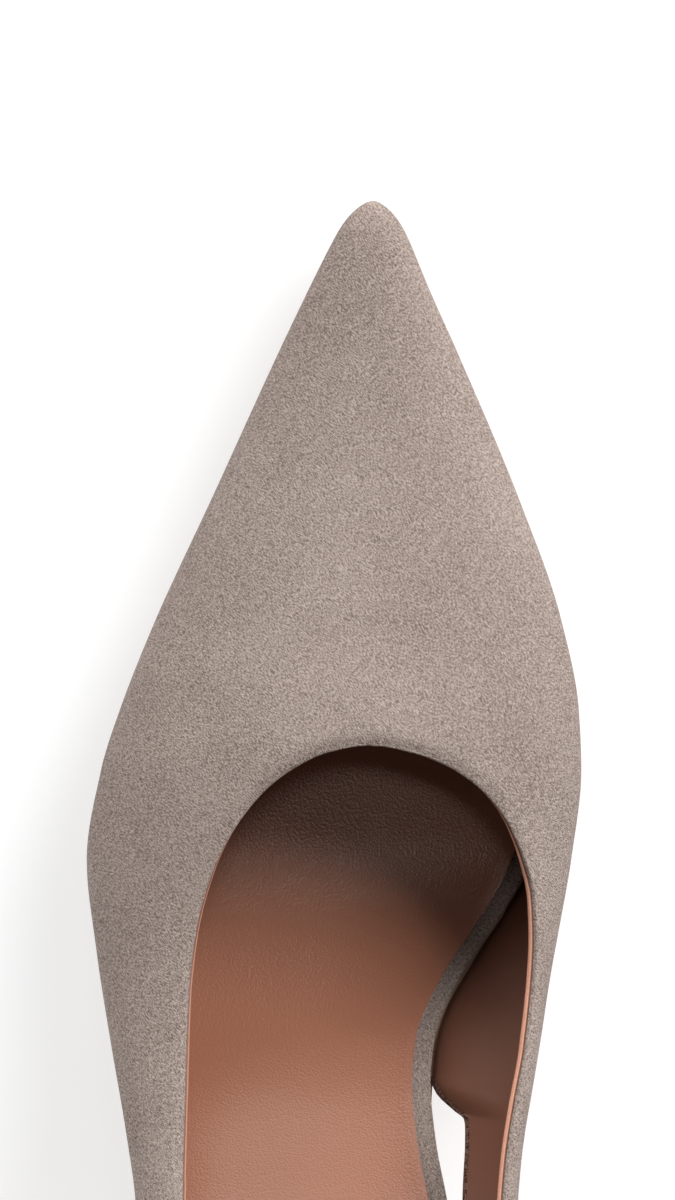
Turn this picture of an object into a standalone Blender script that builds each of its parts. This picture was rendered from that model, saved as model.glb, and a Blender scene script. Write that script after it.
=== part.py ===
"""Slingback pump, left shoe: a pointed suede upper cut in one with its heel strap, on a slim heel.

Tables and sizes are in millimetres, the scene in metres. +Y points to the toe, +X to the inner (medial)
side of the foot and +Z up. The shoe stands on the floor, with the middle of its box over the origin.
A station is a distance back from the toe tip, measured along the floor. Past HEEL_STATION the stations of
the upper run on round the back of the heel, along its outline.
"""

import math
from bisect import bisect_right

import bmesh
import bpy

MM = 0.001
LATERAL, MEDIAL = -1, 1
SIDES = (LATERAL, MEDIAL)

# Overall sizes
LENGTH = 248.0
WALL = 1.6
OUTSOLE_THICKNESS = 3.0
INSOLE_THICKNESS = 2.8
SOCK_THICKNESS = 0.9
TOP_LIFT_HEIGHT = 6.0
GAP = 0.3

# Toe: how fast the outline opens from the tip, and the middle of the throat's front edge
TOE_ROUNDING = 2.7
THROAT_STATION = 86.8

# Heel of the upper: an ellipse in plan, behind the station where the sides stop running forward
HEEL_STATION = 222.0
HEEL_X = -2.8
HEEL_HALF_WIDTH = 26.9
HEEL_DEPTH = 22.6
HEEL_ARC = math.pi / 4 * (HEEL_HALF_WIDTH + HEEL_DEPTH)
BACK_STATION = HEEL_STATION + HEEL_ARC
BACK_TOP_INSET = 4.0

# Fullness of the upper's sections above their widest line: 2 is an ellipse, more is squarer
FULLNESS = 2.2

# Wings and strap behind the sole: how soon the wall's foot leans in under them, and how hollow it is
FLARE_RUN = 4.0
FLARE_CURVE = 1.5

# Underside of the sole along the shoe, and where the crest of the foot lies across it
SPINE_COLUMNS = ("station", "sole_z", "crest_x")
SPINE = (
    (0.0, 8.0, 6.35),
    (20.0, 4.6, 6.2),
    (40.0, 2.0, 6.1),
    (60.0, 0.4, 6.0),
    (70.0, 0.0, 6.0),
    (87.2, 0.0, 5.95),
    (102.0, 0.0, 5.2),
    (112.0, 1.0, 4.3),
    (125.0, 4.4, 2.8),
    (140.0, 11.5, 0.5),
    (155.0, 20.8, -1.5),
    (170.0, 30.6, -2.5),
    (185.0, 39.6, -2.8),
    (200.0, 46.6, -2.8),
    (215.0, 51.0, -2.8),
    (230.0, 53.4, -2.8),
    (246.0, 55.0, -2.8),
)

# Sections of the upper: its widest line, the height of the crest that the section would close to,
# and how far the wall tucks in under the widest line before it meets the sole
SECTION_COLUMNS = ("station", "wide_x", "wide_z", "crest_z", "tuck")
SECTIONS = {
    LATERAL: (
        (0.0, 3.1, 15.5, 15.5, 1.6),
        (0.6, 2.8, 15.5, 17.4, 1.8),
        (2.0, 2.1, 15.4, 19.0, 2.2),
        (5.0, 0.6, 15.2, 20.9, 2.4),
        (14.4, -4.05, 14.6, 23.2, 2.6),
        (24.0, -8.65, 13.8, 24.6, 2.7),
        (48.0, -19.65, 12.6, 28.8, 2.85),
        (67.0, -28.45, 12.4, 33.2, 2.9),
        (81.6, -34.25, 12.7, 37.6, 2.85),
        (91.2, -37.25, 13.0, 39.9, 2.8),
        (105.6, -39.55, 13.9, 40.6, 3.4),
        (120.0, -37.95, 17.0, 42.8, 2.7),
        (134.4, -35.55, 24.0, 48.6, 2.6),
        (148.8, -32.85, 34.5, 56.4, 2.35),
        (160.0, -31.2, 43.0, 64.5, 1.6),
        (180.0, -30.4, 58.0, 75.6, 1.0),
        (200.0, -30.1, 72.5, 86.6, 0.8),
        (222.0, -29.7, 84.0, 98.7, 0.4),
        (BACK_STATION, HEEL_X, 97.5, 113.8, 0.2),
    ),
    MEDIAL: (
        (0.0, 9.6, 15.5, 15.5, 1.6),
        (0.6, 9.85, 15.5, 17.4, 1.8),
        (2.0, 10.4, 15.4, 19.0, 2.2),
        (5.0, 11.7, 15.2, 20.9, 2.2),
        (14.4, 15.55, 14.6, 23.2, 2.2),
        (24.0, 19.85, 13.8, 24.6, 2.7),
        (48.0, 29.95, 12.6, 28.8, 2.8),
        (67.0, 36.6, 12.4, 33.2, 3.25),
        (81.6, 39.45, 12.7, 37.6, 3.15),
        (91.2, 39.85, 13.0, 40.4, 3.0),
        (105.6, 38.2, 14.4, 46.7, 3.95),
        (117.0, 36.1, 18.2, 56.6, 7.5),
        (124.0, 34.75, 21.5, 63.4, 10.55),
        (134.4, 33.0, 28.3, 72.2, 14.2),
        (138.0, 32.35, 31.2, 73.8, 14.5),
        (143.8, 31.25, 36.25, 75.85, 14.05),
        (145.8, 30.85, 37.95, 76.5, 12.0),
        (148.6, 30.35, 40.25, 77.4, 8.5),
        (152.4, 29.8, 43.25, 78.6, 7.75),
        (160.0, 29.1, 49.0, 80.0, 7.5),
        (180.0, 28.2, 60.5, 88.0, 4.0),
        (200.0, 26.4, 73.5, 95.8, 1.4),
        (222.0, 24.1, 84.5, 105.7, 0.5),
        (BACK_STATION, HEEL_X, 97.5, 113.8, 0.2),
    ),
}

# Lower edge of the wing where it leaves the sole and of the strap behind it
STRAP_COLUMNS = ("station", "low_z")
STRAP_LOW_EDGE = {
    LATERAL: (
        (146.0, 18.6),
        (148.0, 22.0),
        (151.0, 26.6),
        (155.0, 31.8),
        (160.0, 37.2),
        (180.0, 55.0),
        (200.0, 70.0),
        (222.0, 83.0),
        (BACK_STATION, 96.5),
    ),
    MEDIAL: (
        (143.8, 15.5),
        (145.8, 19.6),
        (148.6, 24.2),
        (152.4, 29.2),
        (156.2, 33.6),
        (160.0, 37.6),
        (180.0, 55.5),
        (200.0, 70.0),
        (222.0, 83.0),
        (BACK_STATION, 96.5),
    ),
}

# Topline in plan, from the outer side of the heel round the throat to the inner side: x, station
TOPLINE = (
    (-22.9, 222.0),
    (-23.6, 200.0),
    (-24.0, 180.0),
    (-24.1, 160.0),
    (-23.6, 136.5),
    (-23.2, 125.9),
    (-22.0, 116.3),
    (-19.2, 106.7),
    (-14.8, 98.7),
    (-9.2, 92.6),
    (-0.7, 87.9),
    (5.95, THROAT_STATION),
    (12.75, 88.0),
    (19.2, 90.5),
    (24.6, 94.5),
    (28.3, 99.2),
    (31.15, 105.6),
    (32.5, 110.9),
    (32.9, 118.0),
    (31.5, 133.9),
    (29.75, 142.9),
    (28.3, 151.5),
    (27.5, 160.0),
    (26.5, 180.0),
    (24.5, 200.0),
    (21.6, 222.0),
)

# Outline of the insole, and how far the outsole reaches past it
BED_COLUMNS = ("station", "lateral", "medial", "sole_reach")
BED = (
    (6.0, 5.0, 7.8, 1.9),
    (24.0, -3.55, 14.75, 2.2),
    (48.0, -14.4, 24.7, 2.4),
    (67.0, -23.2, 31.3, 2.4),
    (81.6, -29.2, 34.3, 2.4),
    (91.2, -32.2, 34.9, 2.4),
    (100.0, -33.9, 33.6, 2.4),
    (108.8, -34.2, 30.35, 2.3),
    (117.3, -33.6, 25.15, 2.0),
    (124.0, -32.8, 20.7, 1.7),
    (134.4, -31.0, 16.2, 0.9),
    (141.5, -29.8, 15.6, 0.35),
    (150.0, -28.7, 16.35, -0.5),
    (160.0, -28.0, 18.25, -0.8),
    (175.0, -27.4, 20.6, -0.8),
    (195.0, -27.2, 22.1, -0.8),
    (222.0, -27.1, 21.5, -0.8),
)

# Rise of the footbed towards its inner edge, and the x from where it rises
ARCH_COLUMNS = ("station", "rise", "start_x")
ARCH = (
    (78.0, 0.0, 0.0),
    (96.0, 1.8, 2.0),
    (110.0, 1.9, 0.0),
    (122.0, 1.5, -2.0),
    (140.0, 1.3, -3.5),
    (165.0, 1.0, -2.0),
    (215.0, 0.0, 0.0),
)
INSOLE_TIP = 6.0
INSOLE_TIP_ROUNDING = 1.2
INSOLE_BACK_DEPTH = LENGTH - HEEL_STATION
SOCK_INSET = 3.0
SOCK_TIP = 16.0
OUTSOLE_TIP = 3.0
HEEL_BREAST = 206.0

# Rounding of the layers' edges
OUTSOLE_EDGE = 0.5
INSOLE_EDGE = 1.1
SOCK_EDGE = 0.3

# Heel: sections from the top lift up to the seat, with their front and back stations and half width
HEEL_COLUMNS = ("height", "front", "back", "half_width")
HEEL_SECTIONS = (
    (TOP_LIFT_HEIGHT + GAP, 224.4, 239.6, 7.8),
    (16.0, 222.6, 240.3, 8.9),
    (26.0, 219.0, 242.0, 11.6),
    (35.0, 213.8, 244.3, 15.8),
    (42.0, 209.2, 246.4, 20.2),
    (47.0, 206.8, 247.4, 23.6),
)
HEEL_RINGS = 9
HEEL_STEPS = (0.0, 0.2, 0.4, 0.55, 0.69, 0.81, 0.9, 0.965, 1.0)
HEEL_STRAIGHT = 0.4

# Mesh steps: rows of the vamp, crowded towards the tip and leaning forward down to the sole, points up
# each rib, crowded towards the sole, and rows of the wings and strap, which fan out back to FAN_STATION
VAMP_ROWS = 20
VAMP_CROWDING = 1.7
VAMP_LEAN = 12.0
RIB_COLUMNS = 9
RIB_CROWDING = 1.2
TOPLINE_STEP = 5.6
CORNER_STEPS = (0.0, 2.0, 5.0, 9.0)
PLATE_COLUMNS = 6
BACK_ROWS = 8
FAN_STATION = 112.0
MERGE = 1e-6
SHARP_ANGLE = math.radians(45)
RIM_ANGLE = math.radians(60)

SUEDE = ("suede", (0.376, 0.302, 0.262), 0.95)
INSOLE_SUEDE = ("insole_suede", (0.36, 0.29, 0.25), 0.95)
SOCK_LEATHER = ("sock_leather", (0.352, 0.176, 0.113), 0.55)
SOLE_LEATHER = ("sole_leather", (0.42, 0.27, 0.17), 0.5)
LIFT_RUBBER = ("lift_rubber", (0.16, 0.12, 0.1), 0.7)


def smooth(stations, values, at):
    """The value at a station on a curve through the rows that never overshoots them."""
    at = min(max(at, stations[0]), stations[-1])
    i = min(bisect_right(stations, at), len(stations) - 1) - 1
    rises = [
        (values[k + 1] - values[k]) / (stations[k + 1] - stations[k])
        for k in range(len(stations) - 1)
    ]

    def slope(k):
        if k == 0 or k == len(rises):
            return rises[min(k, len(rises) - 1)]
        before, after = rises[k - 1], rises[k]
        return 0.0 if before * after <= 0 else 2 * before * after / (before + after)

    span = stations[i + 1] - stations[i]
    t = (at - stations[i]) / span
    start, end = values[i], values[i + 1]
    rise, fall = slope(i) * span, slope(i + 1) * span
    return (
        start
        + t * rise
        + t * t * (3 * (end - start) - 2 * rise - fall)
        + t * t * t * (2 * (start - end) + rise + fall)
    )


def ease(share):
    """Goes from 0 to 1 as share does, level at both ends."""
    return share * share * (3 - 2 * share)


def column(table, names, name, at):
    index = names.index(name)
    return smooth([row[0] for row in table], [row[index] for row in table], at)


def spine(name, station):
    return column(SPINE, SPINE_COLUMNS, name, station)


def round_the_back(table):
    """A table of one side with one more row, past the back, where the other side mirrors it."""
    before = table[-2]
    return table + ((2 * BACK_STATION - before[0], *before[1:]),)


def section(side, name, station):
    return column(round_the_back(SECTIONS[side]), SECTION_COLUMNS, name, station)


def bed(name, station):
    return column(BED, BED_COLUMNS, name, station)


def place(x, station, z):
    """A point of the shoe in the scene's metres."""
    return (x * MM, (LENGTH / 2 - station) * MM, z * MM)


def wide_x(side, station):
    """The upper's widest line in plan, drawn together into a round point at the toe."""
    lateral = section(LATERAL, "wide_x", station)
    medial = section(MEDIAL, "wide_x", station)
    opening = math.sqrt(math.tanh(station / TOE_ROUNDING))
    return (lateral + medial) / 2 + side * (medial - lateral) / 2 * opening


def wide_point(side, station):
    """The widest line's (x, station) and its inward direction in plan."""
    if station > HEEL_STATION:
        angle = (station - HEEL_STATION) / HEEL_ARC * math.pi / 2
        across, along = side * math.cos(angle), math.sin(angle)
        spot = (HEEL_X + HEEL_HALF_WIDTH * across, HEEL_STATION + HEEL_DEPTH * along)
        inward = (-across / HEEL_HALF_WIDTH, -along / HEEL_DEPTH)
    else:
        spot = (wide_x(side, station), station)
        step = 0.05
        turn = (wide_x(side, station + step) - wide_x(side, max(station - step, 0))) / (2 * step)
        inward = (-side, side * turn) if station > 0 else (0.0, 1.0)
    size = math.hypot(*inward)
    return spot, (inward[0] / size, inward[1] / size)


def wall_line(side, station):
    """Points up the upper's outer wall at a station, from its lower edge to the crest."""
    (x, along), inward = wide_point(side, station)
    wide_z = section(side, "wide_z", station)
    tuck = section(side, "tuck", station)
    edge = STRAP_LOW_EDGE[side]
    if station <= edge[0][0]:
        low_z = spine("sole_z", along + inward[1] * tuck) + OUTSOLE_THICKNESS + GAP
    else:
        low_z = column(round_the_back(edge), STRAP_COLUMNS, "low_z", station)
    flare = ease(min(max(station - edge[0][0], 0.0) / FLARE_RUN, 1.0))
    steps = 24
    line = []
    for k in range(steps):
        rise = k / steps
        upright, flared = 1 - ease(rise), (1 - rise) ** FLARE_CURVE
        inset = tuck * (upright + (flared - upright) * flare)
        line.append((x + inward[0] * inset, along + inward[1] * inset, low_z + (wide_z - low_z) * rise))
    if station > HEEL_STATION:
        reach = HEEL_HALF_WIDTH + (HEEL_DEPTH - HEEL_HALF_WIDTH) * (station - HEEL_STATION) / HEEL_ARC
    else:
        reach = abs(x - spine("crest_x", station))
        inward = (-side, 0.0)
    crest_rise = section(side, "crest_z", station) - wide_z
    for k in range(steps + 1):
        angle = math.pi / 2 * k / steps
        inset = reach * (1 - max(math.cos(angle), 0.0) ** (2 / FULLNESS))
        z = wide_z + crest_rise * math.sin(angle) ** (2 / FULLNESS)
        line.append((x + inward[0] * inset, along + inward[1] * inset, z))
    return line


def lengths_along(points):
    lengths = [0.0]
    for a, b in zip(points, points[1:]):
        lengths.append(lengths[-1] + math.dist(a, b))
    return lengths


def at_length(points, lengths, at):
    """The point at a length along a line of points."""
    i = min(bisect_right(lengths, at), len(lengths) - 1) - 1
    run = lengths[i + 1] - lengths[i]
    t = (at - lengths[i]) / run if run else 0.0
    return tuple(p + (q - p) * t for p, q in zip(points[i], points[i + 1]))


def share_up(side, station, inset):
    """How far up the wall line, as a share of its length, it has come in by inset from the widest line."""
    line = wall_line(side, station)
    spot, _ = wide_point(side, station)
    lengths = lengths_along(line)
    half = len(line) // 2
    insets = [math.dist(point[:2], spot) for point in line]
    after = next((k for k in range(half, len(line)) if insets[k] >= inset), len(line) - 1)
    run = insets[after] - insets[after - 1]
    part = (inset - insets[after - 1]) / run if after > half and run else 1.0
    return (lengths[after - 1] + (lengths[after] - lengths[after - 1]) * part) / lengths[-1]


def rib(side, low_station, top_station, top_share):
    """A line of points up the wall from low_station at its lower edge to top_station at top_share."""
    points = []
    for k in range(RIB_COLUMNS + 1):
        rise = (k / RIB_COLUMNS) ** RIB_CROWDING
        line = wall_line(side, low_station + (top_station - low_station) * rise)
        lengths = lengths_along(line)
        points.append(at_length(line, lengths, lengths[-1] * top_share * rise))
    return points


def topline(side):
    """Points (x, station) along the topline, from the middle of the throat back to HEEL_STATION."""
    runs = lengths_along(TOPLINE)
    throat = next(k for k, row in enumerate(TOPLINE) if row[1] == THROAT_STATION)
    end = runs[-1] if side == MEDIAL else runs[0]
    steps = 400
    points = []
    for k in range(steps + 1):
        at = runs[throat] + (end - runs[throat]) * k / steps
        points.append(tuple(smooth(runs, values, at) for values in zip(*TOPLINE)))
    return points


def wing_stations(side, points):
    """Rows (low station, top station, top x) of a wing: even steps along the topline, fanning out from
    the throat, and closer where the strap leaves the sole."""
    lengths = lengths_along(points)
    fan = next(run for run, point in zip(lengths, points) if point[1] >= FAN_STATION)
    corner = [STRAP_LOW_EDGE[side][0][0] + step for step in CORNER_STEPS] + [HEEL_STATION]
    rows, last = [], 0.0
    for run, (x, station) in zip(lengths, points):
        if corner and station >= corner[0]:
            corner.pop(0)
        elif run - last < TOPLINE_STEP or any(abs(station - c) < TOPLINE_STEP / 2 for c in corner):
            continue
        last = run
        start = THROAT_STATION - VAMP_LEAN
        low = start + (FAN_STATION - start) * run / fan if run < fan else station
        rows.append((low, station, x))
    return rows


def strip(side):
    """Ribs of one wing and its half of the strap, from behind the throat to the back of the heel."""
    ribs, inset = [], 0.0
    for low, station, x in wing_stations(side, topline(side)):
        inset = abs(wide_x(side, station) - x)
        ribs.append(rib(side, low, station, share_up(side, station, inset)))
    for k in range(1, BACK_ROWS + 1):
        share = k / BACK_ROWS
        station = HEEL_STATION + HEEL_ARC * share
        top = share_up(side, station, inset + (BACK_TOP_INSET - inset) * ease(share))
        ribs.append(rib(side, station, station, top))
    return ribs


def new_object(name, mesh, material, parent):
    colour_name, colour, roughness = material
    shader = bpy.data.materials.new(colour_name)
    shader.use_nodes = True
    principled = shader.node_tree.nodes["Principled BSDF"]
    principled.inputs["Base Color"].default_value = (*colour, 1.0)
    principled.inputs["Roughness"].default_value = roughness
    principled.inputs["Metallic"].default_value = 0.0
    mesh.materials.append(shader)
    mesh.shade_smooth()
    mesh.set_sharp_from_angle(angle=SHARP_ANGLE)
    part = bpy.data.objects.new(name, mesh)
    part.parent = parent
    bpy.data.collections["slingback_pump"].objects.link(part)
    return part


def finished_mesh(name, shape):
    bmesh.ops.remove_doubles(shape, verts=shape.verts[:], dist=MERGE)
    mesh = bpy.data.meshes.new(name)
    shape.to_mesh(mesh)
    shape.free()
    return mesh


def grid(shape, rows):
    """Faces between rows of points, each row running from the lateral side to the medial side."""
    lines = [[shape.verts.new(place(*point)) for point in row] for row in rows]
    for front, back in zip(lines, lines[1:]):
        for k in range(len(front) - 1):
            shape.faces.new((front[k], back[k], back[k + 1], front[k + 1]))


def make_upper(parent):
    vamp = []
    for k in range(VAMP_ROWS + 1):
        back = (k / VAMP_ROWS) ** VAMP_CROWDING
        station = THROAT_STATION * back
        low = station - VAMP_LEAN * back * back
        vamp.append(rib(LATERAL, low, station, 1.0) + rib(MEDIAL, low, station, 1.0)[-2::-1])
    lateral = [vamp[-1][: RIB_COLUMNS + 1]] + strip(LATERAL)
    medial = [vamp[-1][RIB_COLUMNS:]] + [points[::-1] for points in strip(MEDIAL)]
    shape = bmesh.new()
    for rows in (vamp, lateral, medial):
        grid(shape, rows)
    upper = new_object("upper", finished_mesh("upper", shape), SUEDE, parent)
    wall = upper.modifiers.new("wall", "SOLIDIFY")
    wall.thickness = WALL * MM
    wall.offset = -1.0
    wall.use_even_offset = True


def bed_edge(side, station, tip, rounding, inset):
    """X of the footbed's edge, brought together at the toe and rounded at the heel."""
    name = "lateral" if side == LATERAL else "medial"
    depth = INSOLE_BACK_DEPTH - inset
    past = max(station - HEEL_STATION, 0.0) / depth
    lateral, medial = bed("lateral", station), bed("medial", station)
    middle = (lateral + medial) / 2
    half = abs(bed(name, station) - middle) - inset
    opening = math.sqrt(math.tanh(max(station - tip, 0.0) / rounding))
    return middle + side * half * opening * math.sqrt(max(1 - past * past, 0.0))


def bed_stations(tip, end, back_depth=0.0):
    """Stations along the footbed, closer at the toe and, where it reaches the back, round the heel."""
    toe_run, toe_rows, step, back_rows = 28.0, 7, 6.5, 7
    stations = [tip + (toe_run - tip) * (k / toe_rows) ** 2 for k in range(toe_rows + 1)]
    rows = round((end - toe_run) / step)
    stations += [toe_run + (end - toe_run) * k / rows for k in range(1, rows + 1)]
    angles = [math.pi / 2 * k / back_rows for k in range(1, back_rows + 1)] if back_depth else []
    return stations + [end + back_depth * math.sin(angle) for angle in angles]


def level(x, station):
    return 0.0


def arch(x, station):
    """How far the footbed rises towards its inner edge, under the arch of the foot."""
    start = column(ARCH, ARCH_COLUMNS, "start_x", station)
    reach = bed("medial", station) - start
    return column(ARCH, ARCH_COLUMNS, "rise", station) * max((x - start) / reach, 0.0) ** 2


def make_plate(name, stations, edges, underside, thickness, rises, rounding, material, parent):
    """A layer of the footbed: its top from edge to edge at each station, then its thickness downwards.
    Rises are the functions that its top and its underside rise by."""
    top_rise, under_rise = rises
    rows = []
    for station in stations:
        lateral, medial = edges(station)
        z = spine("sole_z", station) + underside + thickness
        xs = [lateral + (medial - lateral) * k / PLATE_COLUMNS for k in range(PLATE_COLUMNS + 1)]
        rows.append([(x, station, z + top_rise(x, station)) for x in xs])
    shape = bmesh.new()
    grid(shape, rows)
    bmesh.ops.remove_doubles(shape, verts=shape.verts[:], dist=MERGE)
    grown = bmesh.ops.extrude_face_region(shape, geom=shape.faces[:])
    moved = [item for item in grown["geom"] if isinstance(item, bmesh.types.BMVert)]
    for vertex in moved:
        x, station = vertex.co.x / MM, LENGTH / 2 - vertex.co.y / MM
        vertex.co.z -= (thickness + top_rise(x, station) - under_rise(x, station)) * MM
    bmesh.ops.recalc_face_normals(shape, faces=shape.faces[:])
    plate = new_object(name, finished_mesh(name, shape), material, parent)
    soften = plate.modifiers.new("rounded_edge", "BEVEL")
    soften.width = rounding * MM
    soften.segments = 2
    soften.limit_method = "ANGLE"
    soften.angle_limit = RIM_ANGLE


def make_footbed(parent):
    def insole_edges(station):
        return [bed_edge(side, station, INSOLE_TIP, INSOLE_TIP_ROUNDING, 0.0) for side in SIDES]

    def sock_edges(station):
        return [bed_edge(side, station, SOCK_TIP, INSOLE_TIP_ROUNDING, SOCK_INSET) for side in SIDES]

    def outsole_edges(station):
        reach = -bed("sole_reach", station)
        return [bed_edge(side, station, OUTSOLE_TIP, TOE_ROUNDING, reach) for side in SIDES]

    insole_z = OUTSOLE_THICKNESS + GAP
    sock_z = insole_z + INSOLE_THICKNESS + GAP
    make_plate("outsole", bed_stations(OUTSOLE_TIP, HEEL_BREAST - GAP), outsole_edges,
               0.0, OUTSOLE_THICKNESS, (level, level), OUTSOLE_EDGE, SOLE_LEATHER, parent)
    make_plate("insole", bed_stations(INSOLE_TIP, HEEL_STATION, INSOLE_BACK_DEPTH), insole_edges,
               insole_z, INSOLE_THICKNESS, (arch, level), INSOLE_EDGE, INSOLE_SUEDE, parent)
    make_plate("sock", bed_stations(SOCK_TIP, HEEL_STATION, INSOLE_BACK_DEPTH - SOCK_INSET),
               sock_edges, sock_z, SOCK_THICKNESS, (arch, arch), SOCK_EDGE, SOCK_LEATHER, parent)


def heel_ring(front, back, half_width, height):
    """Pairs of points on a section of the heel, lateral and medial, from its breast to its back."""
    pairs = []
    for step in HEEL_STEPS:
        past = max(step - HEEL_STRAIGHT, 0.0) / (1 - HEEL_STRAIGHT)
        half = half_width * math.sqrt(max(1 - past * past, 0.0))
        station = front + (back - front) * step
        pairs.append([(HEEL_X + side * half, station, height) for side in SIDES])
    return pairs


def seat_ring():
    """The heel's top, which follows the underside of the insole."""
    back = HEEL_STATION + INSOLE_BACK_DEPTH - GAP
    pairs = []
    for step in HEEL_STEPS:
        station = HEEL_BREAST + (back - HEEL_BREAST) * step
        z = spine("sole_z", station) + OUTSOLE_THICKNESS
        edges = [bed_edge(side, station, INSOLE_TIP, INSOLE_TIP_ROUNDING, GAP) for side in SIDES]
        pairs.append([(x, station, z) for x in edges])
    return pairs


def make_column(name, rings, material, parent):
    """A closed solid between rings of paired points, the first ring at the top."""
    shape = bmesh.new()
    lines = []
    for pairs in rings:
        loop = [pair[0] for pair in pairs] + [pair[1] for pair in reversed(pairs)]
        lines.append([shape.verts.new(place(*point)) for point in loop])
    size = len(lines[0])
    for above, below in zip(lines, lines[1:]):
        for k in range(size):
            shape.faces.new((above[k], below[k], below[(k + 1) % size], above[(k + 1) % size]))
    for line in (lines[0], lines[-1]):
        for k in range(size // 2 - 1):
            shape.faces.new((line[k], line[k + 1], line[size - 2 - k], line[size - 1 - k]))
    bmesh.ops.remove_doubles(shape, verts=shape.verts[:], dist=MERGE)
    bmesh.ops.recalc_face_normals(shape, faces=shape.faces[:])
    new_object(name, finished_mesh(name, shape), material, parent)


def heel_section(height):
    front, back, half_width = (
        column(HEEL_SECTIONS, HEEL_COLUMNS, name, height) for name in ("front", "back", "half_width")
    )
    return heel_ring(front, back, half_width, height)


def make_heel(parent):
    foot, head = HEEL_SECTIONS[0][0], HEEL_SECTIONS[-1][0]
    heights = [head + (foot - head) * k / HEEL_RINGS for k in range(HEEL_RINGS + 1)]
    make_column("heel", [seat_ring()] + [heel_section(height) for height in heights], SUEDE, parent)
    _, front, back, half_width = HEEL_SECTIONS[0]
    lift = [heel_ring(front, back, half_width, height) for height in (TOP_LIFT_HEIGHT, 0.0)]
    make_column("top_lift", lift, LIFT_RUBBER, parent)


def main():
    for item in list(bpy.data.objects):
        bpy.data.objects.remove(item)
    parts = bpy.data.collections.new("slingback_pump")
    bpy.context.scene.collection.children.link(parts)
    shoe = bpy.data.objects.new("shoe", None)
    parts.objects.link(shoe)
    make_upper(shoe)
    make_footbed(shoe)
    make_heel(shoe)


main()
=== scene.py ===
import math

import bmesh
import bpy
import numpy as np
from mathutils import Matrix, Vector
from mathutils.kdtree import KDTree


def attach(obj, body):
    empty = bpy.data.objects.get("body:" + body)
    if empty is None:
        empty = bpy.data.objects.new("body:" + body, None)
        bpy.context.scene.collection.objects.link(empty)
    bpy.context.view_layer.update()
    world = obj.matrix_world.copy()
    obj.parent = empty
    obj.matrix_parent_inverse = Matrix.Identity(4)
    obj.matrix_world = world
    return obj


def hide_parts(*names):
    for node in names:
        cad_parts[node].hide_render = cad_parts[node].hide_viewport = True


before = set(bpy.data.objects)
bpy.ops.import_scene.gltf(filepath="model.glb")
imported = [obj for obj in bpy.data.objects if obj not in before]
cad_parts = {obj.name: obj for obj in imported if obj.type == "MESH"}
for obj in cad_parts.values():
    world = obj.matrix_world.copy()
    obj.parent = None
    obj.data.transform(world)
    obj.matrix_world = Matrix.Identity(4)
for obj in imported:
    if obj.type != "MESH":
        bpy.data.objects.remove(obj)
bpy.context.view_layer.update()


# Upper
# The pump's whole upper is one skin of fine suede, pulled over a pointed last and glued under at the sole.
# Its edge is turned in round the throat and along the topline, and the sling strap is cut in one with it.

# Sizes in millimetres. A station is a distance back from the toe tip along the floor; past HEEL_STATION
# the stations run on round the back of the heel, along its outline.
MM = 0.001
LATERAL, MEDIAL = -1, 1
SIDES = (LATERAL, MEDIAL)
LENGTH = 248.0
OUTSOLE_THICKNESS = 3.0
GAP = 0.3

# Toe and throat: how fast the outline opens from the tip, the throat's front edge, where the ribs of the
# wings stop fanning out, and how far forward the foot of the throat's ribs leans
TOE_ROUNDING = 2.7
THROAT_STATION = 86.8
FAN_STATION = 112.0
VAMP_LEAN = 12.0

# Heel: an ellipse in plan, and how far the strap's top edge has come in at the back
HEEL_STATION = 222.0
HEEL_X = -2.8
HEEL_HALF_WIDTH = 26.9
HEEL_DEPTH = 22.6
HEEL_ARC = math.pi / 4 * (HEEL_HALF_WIDTH + HEEL_DEPTH)
BACK_STATION = HEEL_STATION + HEEL_ARC
BACK_TOP_INSET = 4.0

# Fullness above the widest line, where 2 is an ellipse, and how the wall's foot leans in under the wings
FULLNESS = 2.2
FLARE_RUN = 4.0
FLARE_CURVE = 1.5

# The skin, and the turn along the strap's foot: how thick and wide it is, and where it starts
SUEDE_THICKNESS = 0.9
TURNED_THICKNESS = 1.85
TURN_IN = 1.1
STRAP_START = {LATERAL: 149.5, MEDIAL: 141.4}

# Rolled topline: how wide the roll is, and how deep its edge goes at the throat and along the sides
EDGE_REACH = 2.4
THROAT_DROP = 1.1
SIDE_DROP = 0.45

# Underside of the sole along the shoe, and where the crest of the foot lies across it
SPINE_COLUMNS = ("station", "sole_z", "crest_x")
SPINE = (
    (0.0, 8.0, 6.35),
    (20.0, 4.6, 6.2),
    (40.0, 2.0, 6.1),
    (60.0, 0.4, 6.0),
    (70.0, 0.0, 6.0),
    (87.2, 0.0, 5.95),
    (102.0, 0.0, 5.2),
    (112.0, 1.0, 4.3),
    (125.0, 4.4, 2.8),
    (140.0, 11.5, 0.5),
    (155.0, 20.8, -1.5),
    (170.0, 30.6, -2.5),
    (185.0, 39.6, -2.8),
    (200.0, 46.6, -2.8),
    (215.0, 51.0, -2.8),
    (230.0, 53.4, -2.8),
    (246.0, 55.0, -2.8),
)

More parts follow.
